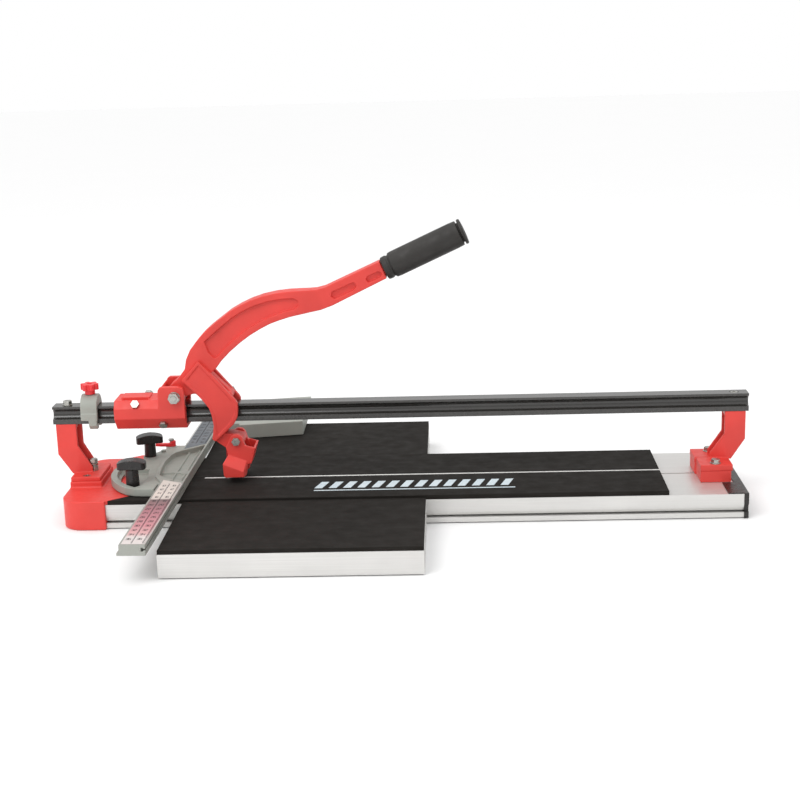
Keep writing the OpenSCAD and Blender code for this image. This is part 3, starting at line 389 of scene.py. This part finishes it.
def add_bar(bm, x, y, width, length, low=FILM_TOP - 0.05, high=FILM_TOP + FILM_LIFT):
    """One flat bar on the fence, given by its centre and size in millimetres."""
    ring = [(-1, -1), (1, -1), (1, 1), (-1, 1)]
    below, above = ([bm.verts.new(fence_place(x + i * width / 2, y + j * length / 2, z)) for i, j in ring]
                    for z in (low, high))
    bm.faces.new(reversed(below))
    bm.faces.new(above)
    for k in range(4):
        bm.faces.new((below[k], below[(k + 1) % 4], above[(k + 1) % 4], above[k]))


def add_number(bm, value, x, y, height=7.5):
    """Writes value in seven-bar digits, centred on a place of the film."""
    half_wide, half_high, pitch = height * 0.2, height / 2, height * 0.56
    text = str(value)
    for place, digit in enumerate(text):
        middle = x + (place - (len(text) - 1) / 2) * pitch
        for bar, (across, along, wide, high) in DIGIT_BARS.items():
            if bar not in DIGIT_GAPS[int(digit)]:
                add_bar(bm, middle + across * half_wide, y + along * half_high,
                        wide * half_wide * 2, high * height)


def flat_piece(name, bm, material):
    """Turns bars of the fence into a flat-shaded piece that rides on it."""
    mesh = bpy.data.meshes.new(name)
    bm.to_mesh(mesh)
    bm.free()
    add_piece(name, mesh, material, "fence")
    mesh.polygons.foreach_set("use_smooth", [False] * len(mesh.polygons))


def add_marks(film, start, stop):
    """Two columns of millimetre ticks and numbers on a film, between two distances from the ridge."""
    bm = bmesh.new()
    side = 1 if start > 0 else -1
    for distance in range(abs(start), abs(stop)):
        tick = 3.6 if distance % 10 == 0 else 2.8 if distance % 5 == 0 else 2.0
        for edge in TICK_COLUMNS:
            add_bar(bm, edge - tick / 2, side * distance, tick, 0.45)
        if distance % 20 == 0:
            for column in NUMBER_COLUMNS:
                add_number(bm, distance // 10, column, side * distance)
    flat_piece(film + "_marks", bm, INK)


def add_bright_edge(name, x, start, stop):
    """A bright bare-aluminium strip along a ruler's edge: a painted highlight where the edge catches the
    light.
    """
    bm = bmesh.new()
    width = 2.0
    add_bar(bm, x, (start + stop) / 2, width, stop - start, FILM_TOP - 0.6, FILM_TOP + FILM_LIFT / 2)
    flat_piece(name, bm, MATERIALS["aluminium_profile"])


add_marks("scale_front", -90, -380)
add_marks("scale_rear", 152, 378)
# Painted highlights: bright strips along the edges of the front and rear rulers.
add_bright_edge("ruler_edge_highlight_front", 10.6, -382, -90)
add_bright_edge("ruler_edge_highlight_rear", -26.2, 154, 380)


# ---- stage ----

def make_floor():
    """A plain pale sheet that the object stands on."""
    half_side = 12.0
    bm = bmesh.new()
    bmesh.ops.create_grid(bm, x_segments=1, y_segments=1, size=half_side)
    mesh = bpy.data.meshes.new("floor")
    bm.to_mesh(mesh)
    bm.free()
    floor = bpy.data.objects.new("floor", mesh)
    bpy.context.scene.collection.objects.link(floor)
    s = Shader("floor_paper", rough=0.9)
    tone = s.mix(s.noise(3), (0.955, 0.955, 0.955), (0.965, 0.965, 0.965))
    mesh.materials.append(s.finish(tone))


def add_light(name, place, aim, size, watts):
    """A soft rectangular lamp that faces a place."""
    data = bpy.data.lights.new(name, "AREA")
    data.shape = "RECTANGLE"
    data.size, data.size_y = size
    data.energy = watts
    light = bpy.data.objects.new(name, data)
    light.location = place
    light.rotation_mode = "QUATERNION"
    light.rotation_quaternion = (Vector(aim) - Vector(place)).to_track_quat("-Z", "Y")
    bpy.context.scene.collection.objects.link(light)


def make_studio():
    """A surround that looks plain white, and lights the object more from above than from the horizon."""
    world = bpy.data.worlds.new("studio")
    world.use_nodes = True
    nodes, links = world.node_tree.nodes, world.node_tree.links
    background = nodes["Background"]
    background.inputs["Color"].default_value = (1.0, 1.0, 1.0, 1.0)
    split = nodes.new("ShaderNodeSeparateXYZ")
    links.new(nodes.new("ShaderNodeTexCoord").outputs["Generated"], split.inputs["Vector"])
    climb = nodes.new("ShaderNodeMapRange")
    climb.inputs["To Min"].default_value = 0.56
    climb.inputs["To Max"].default_value = 1.26
    links.new(split.outputs["Z"], climb.inputs["Value"])
    seen = nodes.new("ShaderNodeMapRange")
    seen.inputs["To Max"].default_value = 1.0
    links.new(nodes.new("ShaderNodeLightPath").outputs["Is Camera Ray"], seen.inputs["Value"])
    links.new(climb.outputs["Result"], seen.inputs["To Min"])
    links.new(seen.outputs["Result"], background.inputs["Strength"])
    bpy.context.scene.world = world
    add_light("key", (-1.2, -1.6, 2.2), (0, 0, 0.15), (1.6, 1.2), 22)
    add_light("top", (0.3, 0.4, 2.6), (0, 0, 0), (2.6, 1.4), 6)


def make_camera():
    """The photograph's view: a 67.5 mm lens on a 36 mm sensor, aimed by yaw, pitch and roll in radians."""
    yaw, pitch, roll = -0.0362, 0.253, -0.0292
    place = Vector((0.0928, -2.4663, 0.8191))
    forward = Vector((math.cos(pitch) * math.sin(yaw), math.cos(pitch) * math.cos(yaw), -math.sin(pitch)))
    level = Vector((math.cos(yaw), -math.sin(yaw), 0.0))
    down = Vector((-math.sin(pitch) * math.sin(yaw), -math.sin(pitch) * math.cos(yaw), -math.cos(pitch)))
    right = math.cos(roll) * level - math.sin(roll) * down
    down = math.sin(roll) * level + math.cos(roll) * down
    data = bpy.data.cameras.new("camera")
    data.lens = 67.5
    data.sensor_width = 36.0
    camera = bpy.data.objects.new("camera", data)
    turn = Matrix((right, -down, -forward)).transposed()
    camera.matrix_world = Matrix.Translation(place) @ turn.to_4x4()
    bpy.context.scene.collection.objects.link(camera)
    bpy.context.scene.camera = camera


make_floor()
make_studio()
make_camera()
